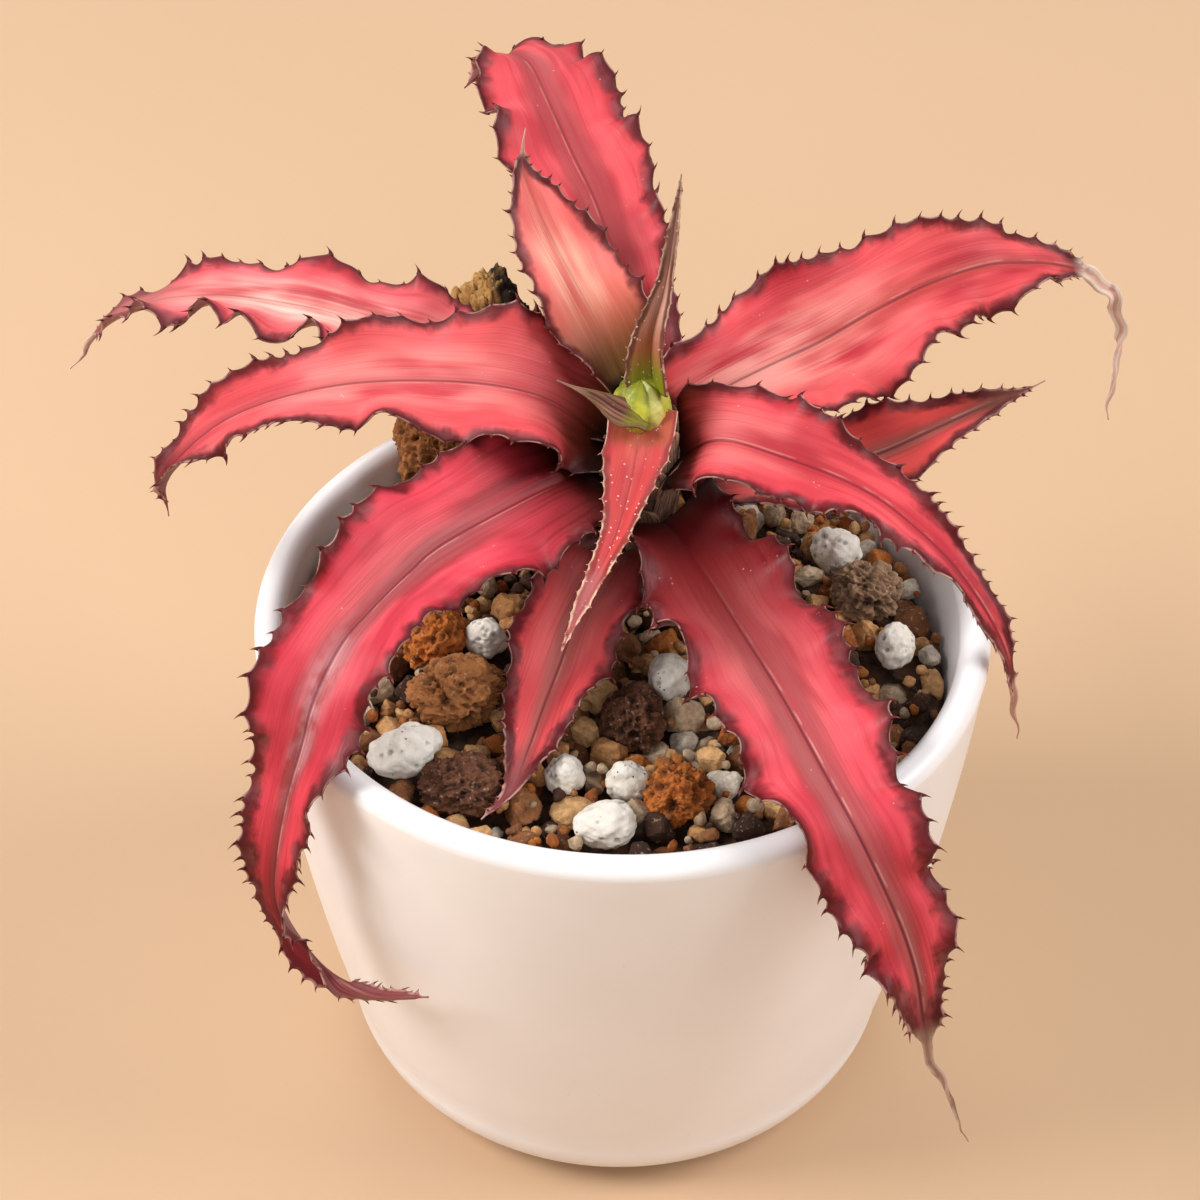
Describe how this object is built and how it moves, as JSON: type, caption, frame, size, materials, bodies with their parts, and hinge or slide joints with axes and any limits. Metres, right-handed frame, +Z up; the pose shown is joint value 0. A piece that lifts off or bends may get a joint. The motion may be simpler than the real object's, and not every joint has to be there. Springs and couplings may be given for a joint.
{
  "type": "potted earth star plant",
  "caption": "Round white pot filled with stone grit, with a rosette of ruffled, spiny-edged rose-red leaves on a short stem; it stands free on its flat foot.",
  "frame": {"origin": "centre of the pot's flat foot, on the surface it stands on", "axes": "+Z up, the front of the reference view faces -Y, +X to the viewer's right"},
  "size_m": [0.1528, 0.1327, 0.1341],
  "materials": {
    "white_glaze": "satin white glaze",
    "grit": "matte loose grains, brown, ochre and tan",
    "pumice": "matte, pitted, dark specks",
    "lava": "matte, crumbly",
    "dry_sheath": "matte dry leaf bases",
    "young_green": "satin",
    "leaf": "satin, fleshy, dark margins",
    "dry_leaf": "matte, dry"
  },
  "bodies": {
    "root": {"pot": "white_glaze", "grit_bed": "grit", "stem": "dry_sheath", "heart": "young_green", "pumice_front": "pumice", "pumice_left": "pumice", "pumice_centre": "pumice", "pumice_middle": "pumice", "pumice_near": "pumice", "pumice_inner": "pumice", "pumice_right": "pumice", "pumice_rear": "pumice", "lava_left": "lava", "lava_inner_left": "lava", "lava_front_left": "lava", "lava_centre": "lava", "lava_front_right": "lava", "lava_rear_right": "lava", "lava_back_low": "lava", "lava_back_tall": "lava", "leaf_centre_spike": "leaf", "leaf_centre_dry": "dry_leaf", "leaf_front_young": "leaf", "leaf_back_middle": "leaf", "leaf_back_tall": "leaf", "leaf_right_upper": "leaf", "leaf_left_rear": "leaf", "leaf_left": "leaf", "leaf_right_front": "leaf", "leaf_left_front": "leaf", "leaf_right_rear": "leaf", "leaf_front_right": "leaf", "leaf_front": "leaf"}
  },
  "joints": []
}
